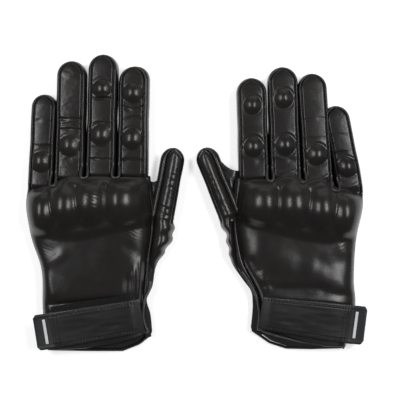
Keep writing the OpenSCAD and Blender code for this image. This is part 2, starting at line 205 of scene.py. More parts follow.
def join(tree, *joins):
    for start, output, end, socket in joins:
        tree.links.new(start.outputs[output], end.inputs[socket])


def leatherMaterial(name, look):
    material, tree, shader = nodesFor(name)
    place = add(tree, "ShaderNodeTexCoord")
    tint = add(tree, "ShaderNodeTexNoise", Scale=look["patchScale"], Detail=4.0, Roughness=0.55)
    shade = add(tree, "ShaderNodeMix", data_type="RGBA", A=(*look["dark"], 1), B=(*look["light"], 1))
    grain = add(tree, "ShaderNodeTexVoronoi", Scale=look["grainScale"])
    pores = add(tree, "ShaderNodeTexNoise", Scale=look["grainScale"] * 2.4, Detail=3.0)
    wave = add(tree, "ShaderNodeTexNoise", Scale=look["creaseScale"], Detail=5.0, Roughness=0.6,
               Distortion=0.6)
    coarse = add(tree, "ShaderNodeBump", Strength=look["crease"], Distance=0.0006)
    fine = add(tree, "ShaderNodeBump", Strength=look["grain"], Distance=0.00012)
    skin = add(tree, "ShaderNodeBump", Strength=look["grain"] * 0.6, Distance=0.00006)
    rough = add(tree, "ShaderNodeMapRange", To_Min=look["roughLow"], To_Max=look["roughHigh"])
    for texture in (tint, grain, pores, wave):
        join(tree, (place, "Object", texture, "Vector"))
    join(tree, (tint, "Fac", shade, "Factor"), (shade, "Result", shader, "Base Color"),
         (wave, "Fac", coarse, "Height"), (grain, "Distance", fine, "Height"),
         (pores, "Fac", skin, "Height"),
         (coarse, "Normal", fine, "Normal"), (fine, "Normal", skin, "Normal"),
         (skin, "Normal", shader, "Normal"),
         (tint, "Fac", rough, "Value"), (rough, "Result", shader, "Roughness"))
    put(shader, Specular_IOR_Level=look["specular"], Coat_Weight=look["coat"], Coat_Roughness=0.32)
    return material


looks = {
    "glove": {"dark": (0.0085, 0.0078, 0.0076), "light": (0.0165, 0.0146, 0.0138), "patchScale": 38.0,
              "grainScale": 1500.0, "creaseScale": 170.0, "crease": 0.12, "grain": 0.18,
              "roughLow": 0.23, "roughHigh": 0.31, "specular": 0.38, "coat": 0.0},
    "strap": {"dark": (0.0085, 0.0080, 0.0080), "light": (0.0150, 0.0140, 0.0138), "patchScale": 50.0,
              "grainScale": 1300.0, "creaseScale": 120.0, "crease": 0.16, "grain": 0.35,
              "roughLow": 0.33, "roughHigh": 0.44, "specular": 0.40, "coat": 0.0},
    "palm": {"dark": (0.011, 0.0102, 0.010), "light": (0.020, 0.0185, 0.018), "patchScale": 60.0,
             "grainScale": 1000.0, "creaseScale": 210.0, "crease": 0.35, "grain": 0.6,
             "roughLow": 0.55, "roughHigh": 0.70, "specular": 0.35, "coat": 0.0},
    "binding": {"dark": (0.014, 0.0132, 0.0130), "light": (0.028, 0.0262, 0.0255), "patchScale": 90.0,
                "grainScale": 1600.0, "creaseScale": 260.0, "crease": 0.2, "grain": 0.25,
                "roughLow": 0.34, "roughHigh": 0.46, "specular": 0.5, "coat": 0.12},
    # inside: a darker, rougher copy of the glove leather, painted shade for the hollows down inside the forks
    # and behind the wrist vent
    "inside": {"dark": (0.005, 0.0049, 0.0049), "light": (0.009, 0.0088, 0.0088), "patchScale": 60.0,
               "grainScale": 1100.0, "creaseScale": 150.0, "crease": 0.3, "grain": 0.4,
               "roughLow": 0.6, "roughHigh": 0.75, "specular": 0.3, "coat": 0.0},
}


def clothMaterial(name, colour, scale, strength, rough, sheen):
    material, tree, shader = nodesFor(name)
    place = add(tree, "ShaderNodeTexCoord")
    knit = add(tree, "ShaderNodeTexWave", Scale=scale, Distortion=1.5, Detail=2.0)
    fuzz = add(tree, "ShaderNodeTexNoise", Scale=scale * 2.2, Detail=6.0, Roughness=0.7)
    shade = add(tree, "ShaderNodeMix", data_type="RGBA", A=(*[c * 0.55 for c in colour], 1),
                B=(*[c * 1.5 for c in colour], 1))
    first = add(tree, "ShaderNodeBump", Strength=strength, Distance=0.0004)
    second = add(tree, "ShaderNodeBump", Strength=strength, Distance=0.0003)
    join(tree, (place, "Object", knit, "Vector"), (place, "Object", fuzz, "Vector"),
         (fuzz, "Fac", shade, "Factor"), (shade, "Result", shader, "Base Color"),
         (knit, "Fac", first, "Height"), (fuzz, "Fac", second, "Height"),
         (first, "Normal", second, "Normal"), (second, "Normal", shader, "Normal"))
    put(shader, Roughness=rough, Specular_IOR_Level=0.2, Sheen_Weight=sheen)
    return material


def plainMaterial(name, colour, scale, strength, roughLow, roughHigh):
    material, tree, shader = nodesFor(name)
    place = add(tree, "ShaderNodeTexCoord")
    spots = add(tree, "ShaderNodeTexNoise", Scale=scale, Detail=4.0)
    shade = add(tree, "ShaderNodeMix", data_type="RGBA", A=(*[c * 0.85 for c in colour], 1),
                B=(*[min(1.0, c * 1.12) for c in colour], 1))
    relief = add(tree, "ShaderNodeBump", Strength=strength, Distance=0.0001)
    rough = add(tree, "ShaderNodeMapRange", To_Min=roughLow, To_Max=roughHigh)
    join(tree, (place, "Object", spots, "Vector"), (spots, "Fac", shade, "Factor"),
         (shade, "Result", shader, "Base Color"), (spots, "Fac", relief, "Height"),
         (relief, "Normal", shader, "Normal"), (spots, "Fac", rough, "Value"),
         (rough, "Result", shader, "Roughness"))
    return material


materials = {name: leatherMaterial(name + " leather", look) for name, look in looks.items()}
materials["thread"] = plainMaterial("thread", (0.0015, 0.0015, 0.0018), 900, 0.4, 0.6, 0.75)
materials["rubber"] = plainMaterial("tab rubber", (0.0085, 0.0095, 0.0105), 700, 0.35, 0.5, 0.62)
materials["stripe"] = plainMaterial("raised stripe", (0.62, 0.63, 0.65), 500, 0.2, 0.5, 0.6)
materials["guard"] = plainMaterial("guard plastic", (0.05, 0.05, 0.052), 600, 0.5, 0.45, 0.6)
materials["lining"] = clothMaterial("lining knit", (0.012, 0.012, 0.013), 900, 0.6, 0.9, 0.1)
materials["loop"] = clothMaterial("loop tape", (0.006, 0.006, 0.0065), 1500, 0.9, 0.95, 0.15)
materials["hook"] = clothMaterial("hook tape", (0.014, 0.014, 0.015), 1900, 0.9, 0.7, 0.05)


def deselect():
    for other in bpy.context.selected_objects:
        other.select_set(False)


def onlyThis(piece):
    deselect()
    piece.select_set(True)
    bpy.context.view_layer.objects.active = piece


def apply(piece, modifier):
    onlyThis(piece)
    bpy.ops.object.modifier_apply(modifier=modifier.name)


def outward(piece):
    onlyThis(piece)
    bpy.ops.object.mode_set(mode="EDIT")
    bpy.ops.mesh.select_all(action="SELECT")
    bpy.ops.mesh.remove_doubles(threshold=0.000004)
    bpy.ops.mesh.normals_make_consistent(inside=False)
    bpy.ops.object.mode_set(mode="OBJECT")
    bpy.ops.object.shade_smooth_by_angle(angle=math.radians(52))


def finishPiece(piece, material, body, nodes=()):
    piece.data.materials.clear()
    piece.data.materials.append(materials[material])
    if body:
        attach(piece, body)
    if nodes:
        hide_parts(*nodes)
    return piece


# a sheet of leather: a grid whose points go where shape(s, t) puts them, thickened inwards;
# the right glove is laid out mirrored, so its faces are turned over
def panel(name, across, up, shape, thickness, turned=False):
    deselect()
    bpy.ops.mesh.primitive_grid_add(x_subdivisions=across, y_subdivisions=up, size=1)
    piece = bpy.context.active_object
    piece.name = name
    for vertex in piece.data.vertices:
        vertex.co = shape(vertex.co.x + 0.5, vertex.co.y + 0.5)
    if name.startswith("right") != turned:
        piece.data.flip_normals()
    if thickness:
        solid = piece.modifiers.new("thickness", "SOLIDIFY")
        solid.thickness = thickness * mm
        solid.offset = -1
        apply(piece, solid)
    outward(piece)
    return piece


def fromBody(name, body):
    mesh = bpy.data.meshes.new(name)
    body.to_mesh(mesh)
    body.free()
    piece = bpy.data.objects.new(name, mesh)
    bpy.context.collection.objects.link(piece)
    return piece


# a piped edge: a round tube along points, in metres; radius is one size or one for each point
def tube(name, points, radius, around=10):
    rings = []
    body = bmesh.new()
    count = len(points)
    for i, point in enumerate(points):
        before = points[i - 1] if i > 0 else point
        after = points[i + 1] if i + 1 < count else point
        ahead = (after - before).normalized()
        across = ahead.cross(Vector((0, 0, 1))).normalized()
        upward = across.cross(ahead).normalized()
        size = radius[i] if isinstance(radius, list) else radius
        rings.append([body.verts.new(point + (across * math.cos(a) + upward * math.sin(a)) * size * mm)
                      for a in [2 * math.pi * k / around for k in range(around)]])
    for a, b in zip(rings, rings[1:]):
        for k in range(around):
            body.faces.new((a[k], a[(k + 1) % around], b[(k + 1) % around], b[k]))
    body.faces.new(rings[0])
    body.faces.new(rings[-1])
    piece = fromBody(name, body)
    outward(piece)
    return piece


# thread: short rounded stitches laid along rows of points, in metres
def stitches(name, rows, length, radius, gap):
    body = bmesh.new()
    for row in rows:
        walked = 0.0
        nextAt = 0.0
        for a, b in zip(row, row[1:]):
            step = (b - a).length
            if step < 1e-9:
                continue
            ahead = (b - a).normalized()
            while nextAt <= walked + step:
                at = a + ahead * (nextAt - walked)
                turn = ahead.to_track_quat("X", "Z").to_matrix().to_4x4()
                size = Matrix.Diagonal((length / 2 * mm, radius * mm, radius * mm, 1))
                bmesh.ops.create_icosphere(body, subdivisions=1, radius=1,
                                           matrix=Matrix.Translation(at) @ turn @ size)
                nextAt += (length + gap) * mm
            walked += step
    piece = fromBody(name, body)
    onlyThis(piece)
    bpy.ops.object.shade_smooth()
    return piece


def foldHeight(side, u, v):
    height = 0.0
    for (u0, v0), (u1, v1), width, rise in glove[side]["folds"]:
        du, dv = u1 - u0, v1 - v0
        span = du * du + dv * dv
        t = ((u - u0) * du + (v - v0) * dv) / span
        inside = smooth(-0.12, 0.2, t) * (1 - smooth(0.8, 1.12, t))
        if inside <= 0:
            continue
        off = ((u - u0) * dv - (v - v0) * du) / math.sqrt(span)
        off += 0.5 * ripple(u, v, 14, 3)
        height += rise * inside * bump(off, width)
    for cu, cv, reach, rise in glove[side]["wrinkles"]:
        near = bump(math.hypot(u - cu, v - cv), reach)
        if near > 0.02:
            lines = math.sin((v - cv) * 2.1 + (u - cu) * 0.9 + 3.0 * ripple(u, v, 9, 5))
            height += rise * near * lines * (0.6 + 0.4 * ripple(u, v, 4, 6))
    return height


def cuffDrop(v):
    return 2.2 * smooth(-70, -112, v)


# height of the seam down the hand's side
def handEdge(v, thumbSide):
    rise = smooth(-22, 10, v)
    return mix(handShape["thumbEdge" if thumbSide else "littleEdge"], handShape["forkEdge"], rise)


def crownDrop(u):
    return handShape["crownCurve"] * (u / 50) ** 4


# where the back panel ends towards the fingers, arched between the forks
def topEdge(side, u):
    v = along(glove[side]["topLine"], u)
    for high, low, rise in glove[side]["forkArcs"]:
        if low < u < high:
            v += rise * math.sin(math.pi * (u - low) / (high - low)) ** 1.3
    return v


# height of the back's leather, before its edges turn down
def handTop(side, u, v):
    z = handShape["crown"] - crownDrop(u)
    z -= cuffDrop(v)
    total = 1.0
    for cu, cv, half in glove[side]["humps"]:
        long = handShape["humpUp"] if v > cv else handShape["humpDown"]
        wide = handShape["humpWidth"] * half
        if (cu < -30 and u < cu) or (cu > 25 and u > cu):
            wide *= handShape["humpOuter"]
        rise = handShape["humpRise"] - (u - cu) ** 2 / wide - (v - cv) ** 2 / (2 * long)
        total += math.exp(handShape["humpJoin"] * max(-20.0, rise))
    z += math.log(total) / handShape["humpJoin"]
    edge = along(glove[side]["guardEdge"], u)
    z += handShape["guardStep"] * smooth(edge - 4.0, edge + 5.5, v)
    z += foldHeight(side, u, v) * smooth(26, 12, v)
    z += 0.22 * ripple(u, v, 22, 1) + 0.10 * ripple(u, v, 7, 2)
    top = topEdge(side, u)
    z -= 4.2 * smooth(top - 9.0, top + 0.5, v) ** 1.6
    z += 0.7 * bump(v - top + 3.0, 2.0) * (1.0 if side == "right" else 0.35)
    return z


# height of the finished back, with its edges turned down to the side seams
def handSurface(side, u, v):
    here = glove[side]
    uLow = along(here["littleSide"], v) + 0.7
    uHigh = along(here["backSeam"], v)
    a = 2 * (u - uLow) / (uHigh - uLow) - 1
    z = handTop(side, u, v)
    shoulder = (1 - min(1.0, abs(a)) ** 14.0)
    edge = handEdge(v, a > 0)
    z = edge + (z - edge) * shoulder ** 0.5
    if abs(a) > 0.9:
        z -= 0.8 * smooth(0.9, 1.0, abs(a)) * (1.0 if a > 0 else 0.0)
    return z


def makeHandBack(side):
    here = glove[side]

    def shape(s, t):
        a = math.sin((s - 0.5) * math.pi)
        vHigh = topEdge(side, mix(-51, 50, 0.5 + 0.5 * a))
        vLow = hemHeight(side, mix(-38, 46, 0.5 + 0.5 * a))
        v = mix(vLow, vHigh, t)
        uLow = along(here["littleSide"], v) + 0.7
        uHigh = along(here["backSeam"], v)
        u = mix(uLow, uHigh, 0.5 + 0.5 * a)
        z = handSurface(side, u, v)
        return inPair(side, u, v, z)

    piece = panel(side + "_hand_back", 110, 170, shape, handShape["leather"])
    return finishPiece(piece, "glove", side + "_hand", [side + "_back_panel"])


# where a hem lies at u
def hemHeight(side, u, hem="backHem"):
    points = glove[side][hem]
    for (u0, v0), (u1, v1) in zip(points, points[1:]):
        if u <= u1:
            t = min(1.0, max(0.0, (u - u0) / (u1 - u0)))
            return mix(v0, v1, t)
    return points[-1][1]


guardShell = {"low": -24, "high": 12, "inset": 7, "slope": 5, "gap": 0.7, "thickness": 1.4}


def makeGuard(side):
    here = glove[side]

    def shape(s, t):
        u = mix(along(here["littleSide"], -6) + guardShell["inset"],
                along(here["backSeam"], -6) - guardShell["inset"], s)
        v = mix(guardShell["low"], guardShell["high"], t) - guardShell["slope"] * smooth(-5, -45, u)
        return inPair(side, u, v, handSurface(side, u, v) - handShape["leather"] - guardShell["gap"])

    piece = panel(side + "_knuckle_shell", 60, 30, shape, guardShell["thickness"])
    return finishPiece(piece, "guard", side + "_hand", [side + "_knuckle_guard"])


# a leather strip along an edge: control(t) gives the points across it at t along it
def band(name, side, rows, columns, control, thickness, turned=False):
    def shape(s, t):
        u, v, z = curve(control(t), s)
        return inPair(side, u, v, z)
    return panel(name, columns, rows, shape, thickness, turned)


def makeHandSides(side):
    here = glove[side]

    def littleSide(t):
        v = mix(-123.2, along(here["topLine"], -50) + 1.0, t)
        u = along(here["littleSide"], v)
        top = handEdge(v, False)
        return [Vector((u + 1.7, v, top + 0.2)), Vector((u + 0.5, v, top + 0.3)),
                Vector((u - 0.2, v, top - 1.6)),
                Vector((u - 0.1, v, mix(top, 2.0, 0.5))), Vector((u + 1.0, v, 2.4)),
                Vector((u + 3.2, v, 1.2))]

    piece = band(side + "_little_finger_side", side, 90, 14, littleSide, handShape["sideLeather"], True)
    finishPiece(piece, "glove", side + "_hand", [side + "_outer_side_panel"])

    def indexSide(t):
        v = mix(-78, along(here["topLine"], 50) + 1.5, t)
        u0 = along(here["backSeam"], v)
        u1 = along(here["sideSeam"], v)
        low = smooth(-12, 10, v) * 0.6
        zTop = handEdge(v, True)
        return [Vector((u0 - 0.5, v, zTop - 1.6)), Vector((u0 + 0.5, v, zTop - 0.2)),
                Vector((mix(u0, u1, 0.45), v, zTop + 0.2 - 1.0 * low)),
                Vector((u1 - 0.7, v, zTop - 0.7 - 2.2 * low)),
                Vector((u1 + 0.1, v, zTop - 1.8 - 3.0 * low)),
                Vector((u1 - 0.6, v, mix(zTop - 4.0, 2.0, low)))]

    piece = band(side + "_index_finger_side", side, 90, 18, indexSide, handShape["sideLeather"])
    finishPiece(piece, "glove", side + "_hand", [side + "_inner_side_panel"])


def makePalm(side):
    here = glove[side]

    def shape(s, t):
        a = math.sin((s - 0.5) * math.pi)
        vHigh = along(here["topLine"], mix(-52, 50, 0.5 + 0.5 * a)) + 2.0
        vLow = hemHeight(side, mix(-38, 50, 0.5 + 0.5 * a), "palmHem")
        v = mix(vLow, vHigh, t)
        uLow = along(here["littleSide"], v) + 2.2
        outer = along(here["thumbSide"], v) - 1.2 if v < -50 else along(here["sideSeam"], v) - 1.8
        blendOut = smooth(-42, -54, v)
        uHigh = mix(along(here["sideSeam"], v) - 1.8, outer, blendOut)
        u = mix(uLow, uHigh, 0.5 + 0.5 * a)
        z = handShape["palmHeight"] + 0.25 * ripple(u, v, 18, 8) + 0.3
        rim = smooth(0.93, 1.0, abs(a))
        z += (2.0 if a < 0 else 2.0 + 4.5 * smooth(-48, -60, v)) * rim
        return inPair(side, u, v, z)

    piece = panel(side + "_palm", 50, 80, shape, handShape["palmLeather"])
    finishPiece(piece, "palm", side + "_hand", [side + "_palm_panel"])


palmPad = {"share": 0.94, "height": 0.0009, "middle": 0.0007, "cuts": 18, "pressure": 1.5, "steps": 12,
           "puff": 0.0008, "top": 0.0017, "bottom": 0.0001}


def makePalmPatch(side):
    low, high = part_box(side + "_palm_patch")
    deselect()
    size = high - low
    bpy.ops.mesh.primitive_cube_add(size=1, location=(low + high) / 2)
    piece = bpy.context.active_object
    piece.name = side + "_palm_pad"
    piece.data.transform(Matrix.Diagonal((size.x * palmPad["share"], size.y * palmPad["share"],
                                          palmPad["height"], 1)))
    centre = (low + high) / 2
    piece.data.transform(Matrix.Translation((centre.x, centre.y, palmPad["middle"])))
    piece.location = (0, 0, 0)
    onlyThis(piece)
    bpy.ops.object.mode_set(mode="EDIT")
    bpy.ops.mesh.select_all(action="SELECT")
    bpy.ops.mesh.subdivide(number_cuts=palmPad["cuts"])
    bpy.ops.object.mode_set(mode="OBJECT")
    before = [vertex.co.copy() for vertex in piece.data.vertices]
    cloth = piece.modifiers.new("stuffing", "CLOTH")
    cloth.settings.use_pressure = True
    cloth.settings.uniform_pressure_force = palmPad["pressure"]
    cloth.settings.effector_weights.gravity = 0
    cloth.point_cache.frame_start = 1
    cloth.point_cache.frame_end = palmPad["steps"]
    for moment in range(1, palmPad["steps"] + 1):
        bpy.context.scene.frame_set(moment)
    apply(piece, cloth)
    bpy.context.scene.frame_set(1)
    for vertex, old in zip(piece.data.vertices, before):
        move = vertex.co - old
        if move.length > palmPad["puff"]:
            vertex.co = old + move.normalized() * palmPad["puff"]
        vertex.co.z = min(palmPad["top"], max(palmPad["bottom"], vertex.co.z))
    outward(piece)
    finishPiece(piece, "palm", side + "_hand", [side + "_palm_patch"])


# sizes of a stall in millimetres; a pad is its place and radius, a crease its place, depth, width and bow
stall = {
    "left": {
        "index": {"width": 26.2, "reach": (0, 0.65), "shift": 0.3, "outerBand": 4.6, "start": -4.5,
                  "pads": ((28.6, 7.0), (66.8, 6.8)),
                  "creases": ((45.0, 0.5, 1.2, 0.4), (56.0, 0.9, 1.3, -0.9), (9.0, 0.7, 2.0, 0.6),
                              (80.0, 0.3, 3.0, 0)),
                  "wrinkle": 0.10, "arch": 3.0, "archGap": 1.6, "tipCut": 0.6},
        "middle": {"width": 25.2, "outerBand": 3.2, "start": -4.5, "pads": ((31.8, 7.0), (70.4, 6.4)),
                   "creases": ((41.8, 0.8, 0.8, 0.3), (62.2, 1.1, 0.8, 0.1), (12.0, 0.9, 0.9, 0.1),
                               (21.5, 0.4, 0.8, 0.1)),
                   "wrinkle": 0.09, "arch": 3.0, "archGap": 1.5},
        "ring": {"width": 25.2, "shift": -0.4, "lead": -1.4, "outerBand": 3.0, "start": -2.5,
                 "pads": ((27.0, 7.0),),
                 "creases": ((40.5, 1.2, 1.1, 0.2), (49.5, 1.3, 1.0, 0.0), (45.0, 0.5, 0.8, 0.3),
                             (84.0, 0.4, 1.6, 0)),
                 "wrinkle": 0.22, "arch": 2.8, "archGap": 1.8},
        "little": {"width": 21.6, "reach": (0.65, 0), "outerBand": 2.6, "start": -2.5,
                   "pads": ((20.6, 6.8),),
                   "creases": ((33.0, 1.2, 1.2, 0.3), (54.0, 0.4, 1.2, 0.2)),
                   "wrinkle": 0.13, "arch": 2.6, "archGap": 2.0},
        "thumb": {"width": 20.6, "innerBand": 5.4, "outerBand": 1.2, "start": -5.0, "height": 14.0,
                  "dome": 3.6,
                  "slant": 0.7, "reach": (0, 0), "round": 1.15, "pads": (),
                  "creases": ((22.0, 0.35, 2.0, 0.8), (8.0, 0.5, 2.0, -0.8), (0.0, 0.5, 1.6, 0.6)),
                  "wrinkle": 0.26, "arch": 3.2, "archGap": 1.4},
    },
    "right": {
        "index": {"width": 25.8, "reach": (0, 0.65), "shift": 1.2, "outerBand": 2.6, "start": -4.0,
                  "pads": ((24.6, 6.6), (59.4, 6.2)),
                  "creases": ((37.0, 0.3, 2.5, 0.3), (14.0, 0.6, 3.0, -0.5), (72.6, 0.35, 0.9, 0.5)),
                  "wrinkle": 0.07, "arch": 2.8, "archGap": 1.6},
        "middle": {"width": 26.0, "shift": 0.9, "outerBand": 2.6, "start": -4.0,
                   "pads": ((26.0, 6.8), (65.0, 6.4)),
                   "creases": ((13.0, 0.5, 2.0, 0.2), (4.0, 1.0, 1.2, -1.2)),
                   "wrinkle": 0.08, "arch": 2.6, "archGap": 1.8},
        "ring": {"width": 25.0, "reach": (0.65, 0.8), "shift": 0.4, "outerBand": 2.4, "start": -2.5,
                 "pads": ((22.0, 6.9),),
                 "creases": ((34.5, 0.4, 1.2, 0.4), (52.0, 0.35, 1.0, 0.1), (3.0, 1.0, 1.2, -1.2)),
                 "wrinkle": 0.08, "arch": 2.6, "archGap": 1.6},
        "little": {"width": 22.0, "reach": (1.3, 0), "shift": 0.2, "lead": 4.2, "outerBand": 2.2,
                   "start": -2.5, "pads": ((19.0, 6.6),),
                   "creases": ((31.0, 0.7, 1.1, 0.4), (3.0, 0.7, 1.2, -0.8), (46.0, 0.3, 1.2, 0.2)),
                   "wrinkle": 0.09, "arch": 2.2, "archGap": 2.0},
        "thumb": {"width": 20.2, "innerBand": 5.6, "outerBand": 1.2, "start": -5.0, "height": 14.0,
                  "dome": 4.0,
                  "slant": 0.7, "reach": (0, 0), "round": 1.15, "pads": (),
                  "creases": ((8.0, 0.5, 2.5, 0.6), (-1.0, 0.4, 1.6, -0.5)),
                  "wrinkle": 0.12, "arch": 3.2, "archGap": 1.4},
    },
}
# what every stall starts from, and then every stall of one glove
everyStall = {"shift": 0, "lead": 0, "height": 16.6, "dome": 0.45, "slant": 0.1, "wallStart": -1.5,
              "reach": (0.65, 0.65), "round": 1.05, "tipCut": 0}
everySide = {"left": {"innerBand": 3.0, "padHeight": 3.0, "padRim": 0.35, "reachTaper": 0.3},
             "right": {"innerBand": 2.6, "padHeight": 3.3, "padRim": 0.75, "reachTaper": 1.0}}
for side in sides:
    for finger, look in stall[side].items():
        stall[side][finger] = {**everyStall, **everySide[side], **look}
fingerShape = {"tipDrop": 3.4, "roll": 1.5, "leather": 1.2, "taper": 0.5, "padSpread": 1.35,
               "creaseDepth": 0.75, "creaseWidth": 1.2, "wallFoot": 0.80, "palmShare": 0.84,
               "tipInset": 3.0, "wallLeather": 1.0, "palmLeather": 0.7}


# where a finger starts and how it points, in the glove's own millimetres
def fingerFrame(side, finger):
    here = glove[side]
    first = joints["%s_%s_bend_root" % (side, finger)]["pos_m"]
    second = joints["%s_%s_bend_middle" % (side, finger)]["pos_m"]
    rootU = (first[0] / mm - here["middleX"]) * here["sign"]
    rootV = first[1] / mm - here["middleY"]
    nextU = (second[0] / mm - here["middleX"]) * here["sign"]
    nextV = second[1] / mm - here["middleY"]
    joint = math.hypot(nextU - rootU, nextV - rootV)
    lean = math.atan2(nextU - rootU, nextV - rootV)
    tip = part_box("%s_%s_tip" % (side, finger))[1]
    length = (tip.y / mm - here["middleY"] - rootV) / math.cos(lean)
    look = stall[side][finger]
    return {"u": rootU + look["shift"], "v": rootV, "lean": lean, "joint": joint, "length": length,
            "lead": look["lead"]}


def fromFinger(place, x, y):
    c, s = math.cos(place["lean"]), math.sin(place["lean"])
    x += place["lead"] * smooth(0, place["length"] * 1.1, y)
    return place["u"] + x * c + y * s, place["v"] - x * s + y * c


def stallHeight(place, look, y):
    away = max(0.0, y - (place["length"] - 20)) / 20
    return look["height"] - fingerShape["tipDrop"] * away ** 2.4


# height of a finger's back strip at x across and y along it
def stripHeight(look, place, x, y, half):
    a = x / max(0.5, half)
    z = stallHeight(place, look, y)
    z += look["dome"] * (1 - a * a)
    for padY, radius in look["pads"]:
        r = math.hypot(x, (y - padY) * (0.94 if y > padY else 1.0)) / radius
        if r < fingerShape["padSpread"]:
            z += look["padHeight"] * (1 - (r / fingerShape["padSpread"]) ** 2) ** 1.5
        z -= 0.5 * look["padRim"] * bump(r - 1.30, 0.20) * (1.0 if y < padY else 0.6)
        z += 0.4 * look["padRim"] * bump(r - 1.6, 0.16) * smooth(-2, 3, y - padY)
    for creaseY, depth, width, bow in look["creases"]:
        off = y - creaseY - bow * (1 - a * a) * 3.0 - 1.2 * ripple(x, y, 7, 11)
        fade = min(1.2, max(0.0, 0.6 + 1.3 * ripple(x, y * 0.3 + creaseY, 9, 12)))
        cut = fingerShape["creaseDepth"] * depth * fade
        z -= cut * bump(off, fingerShape["creaseWidth"] * width) * (1 - 0.8 * a ** 4)
        z += 0.35 * depth * bump(off - 2.2 * width, width)
    away = smooth(look["start"] + 2, look["start"] + 10, y)
    for padY, radius in look["pads"]:
        away *= 1 - 0.85 * bump(math.hypot(x, y - padY), radius)
    patch = smooth(0.0, 0.5, ripple(x * 0.5, y, 11, 14 + look["height"]))
    lines = 1 - 2.2 * abs(ripple(x * 0.45 + y * look["slant"], y, 3.4, 13))
    z += look["wrinkle"] * away * lines * (0.25 + 0.75 * patch)
    z += 0.16 * ripple(x, y, 12, 15) + 0.3 * look["wrinkle"] * ripple(x, y, 2.4, 16)
    z += 0.5 * bump(y - look["start"] - 5.0, 2.6) - 1.6 * (1 - smooth(0, 4, y - look["start"]))
    edge = 1.0 - 1.5 / max(4.0, half)
    z -= fingerShape["roll"] * smooth(edge, 1.0, abs(a)) ** 1.3
    return z


# half of a stall's width at y
def halfWidth(place, look, y):
    full = look["width"] / 2 - fingerShape["taper"] / 2 * max(0.0, y) / place["length"]
    full -= 0.3 * bump(y - place["joint"] - 4, 9)
    cap = full * look["round"]
    into = (y - (place["length"] - cap)) / cap
    if into <= 0:
        return full
    return full * max(0.0, 1 - min(1.0, into) ** 2.1) ** 0.48


# outline and seam of a stall, from the thumb side of the middle crease round the tip to the other
def tipPaths(place, look):
    half = look["width"] / 2 - fingerShape["taper"] / 2
    cap = half * look["round"]
    straightEnd = place["length"] - cap
    apex = place["length"] - look["archGap"]
    archStart = straightEnd - 1.0

    # t runs from 0 to 1 round the tip; gives the outline point and the seam point
    def at(t):
        way = -1 if t > 0.5 else 1
        q = 1 - abs(2 * t - 1)
        inset = look["outerBand"] if way > 0 else look["innerBand"]
        straight = 0.56
        if q < straight:
            y = mix(place["joint"], straightEnd, q / straight)
            w = halfWidth(place, look, min(y, straightEnd))
            return (way * w, y), (way * (w - inset), mix(place["joint"], archStart, q / straight))
        r = (q - straight) / (1 - straight)
        angle = r * math.pi / 2
        w = halfWidth(place, look, straightEnd)
        outer = (way * w * math.cos(angle), straightEnd + cap * math.sin(angle))
        if way > 0 and look["tipCut"]:
            outer = (outer[0] + look["tipCut"] * math.sin(2 * angle),
                     outer[1] + look["tipCut"] * math.sin(2 * angle))
        seam = (way * (w - inset) * (1 - r ** look["arch"]), archStart + (apex - archStart) * r)
        return outer, seam
    return at


# half-width of the back strip at y, on the thumb side (way 1) or the other (way -1)
def seamHalf(place, look, y, way):
    inset = look["outerBand"] if way > 0 else look["innerBand"]
    half = look["width"] / 2 - fingerShape["taper"] / 2
    cap = half * look["round"]
    archStart = place["length"] - cap - 1.0
    apex = place["length"] - look["archGap"]
    w = halfWidth(place, look, min(y, place["length"] - cap))
    if y <= archStart:
        return w - inset
    r = min(1.0, (y - archStart) / (apex - archStart))
    return (w - inset) * (1 - r ** look["arch"])


# one length of a finger's back strip
def makeStrip(side, place, look, low, high, name):
    def shape(s, t):
        y = mix(low, high, t)
        left = -seamHalf(place, look, y, -1)
        right = seamHalf(place, look, y, 1)
        a = math.sin((s - 0.5) * math.pi)
        middle = (left + right) / 2
        half = max(0.25, (right - left) / 2)
        u, v = fromFinger(place, middle + a * half, y)
        z = stripHeight(look, place, a * half, y, half)
        return inPair(side, u, v, z)
    count = max(20, int((high - low) * 1.25))
    return panel(name, 30, count, shape, fingerShape["leather"])


# points down a stall's wall, from the seam over a soft ridge to the palm's edge
def wallPoints(place, look, outer, seam):
    def at(share, z):
        return (mix(seam[0], outer[0], share), mix(seam[1], outer[1], share), z)
    h = stallHeight(place, look, min(outer[1], seam[1] + 2))
    h -= 2.2 * (1 - smooth(look["start"] - 2, look["start"] + 5, outer[1]))
    inward = (outer[0] * fingerShape["wallFoot"], min(outer[1], place["length"] - fingerShape["tipInset"]))
    reach = look["reach"][0 if outer[0] > 0 else 1] * math.copysign(1, outer[0])
    reach *= 1 - look["reachTaper"] * smooth(0.3, 0.9, outer[1] / place["length"])
    points = [at(-0.05, h - 2.5), at(0.12, h - 1.1), at(0.38, h - 0.6), at(0.75, h - 1.9),
              at(0.97, h * 0.68),
              (outer[0] + reach, outer[1], h * 0.36),
              (mix(outer[0], inward[0], 0.45) + reach, mix(outer[1], inward[1], 0.5), 2.0),
              (inward[0], inward[1], 1.2)]
    return points


# the side walls of a stall: two straight ones at the base, or one that goes round the tip
def makeWalls(side, place, look, name, part):
    pieces = []
    if part == "tip":
        path = tipPaths(place, look)

        def control(t):
            outer, seam = path(t)
            return [Vector((*fromFinger(place, x, y), z)) for x, y,
                    z in wallPoints(place, look, outer, seam)]
        pieces.append(band(name, side, 110, 18, control, fingerShape["wallLeather"]))
    else:
        for way, label in ((1, "_thumb_side"), (-1, "_far_side")):
            def control(t, way=way):
                y = mix(look["start"] + look["wallStart"], place["joint"], t)
                w = halfWidth(place, look, y)
                inset = look["outerBand"] if way > 0 else look["innerBand"]
                points = wallPoints(place, look, (way * w, y), (way * (w - inset), y))
                return [Vector((*fromFinger(place, x, py), z)) for x, py, z in points]
            pieces.append(band(name + label, side, 40, 18, control, fingerShape["wallLeather"], way < 0))
    return pieces


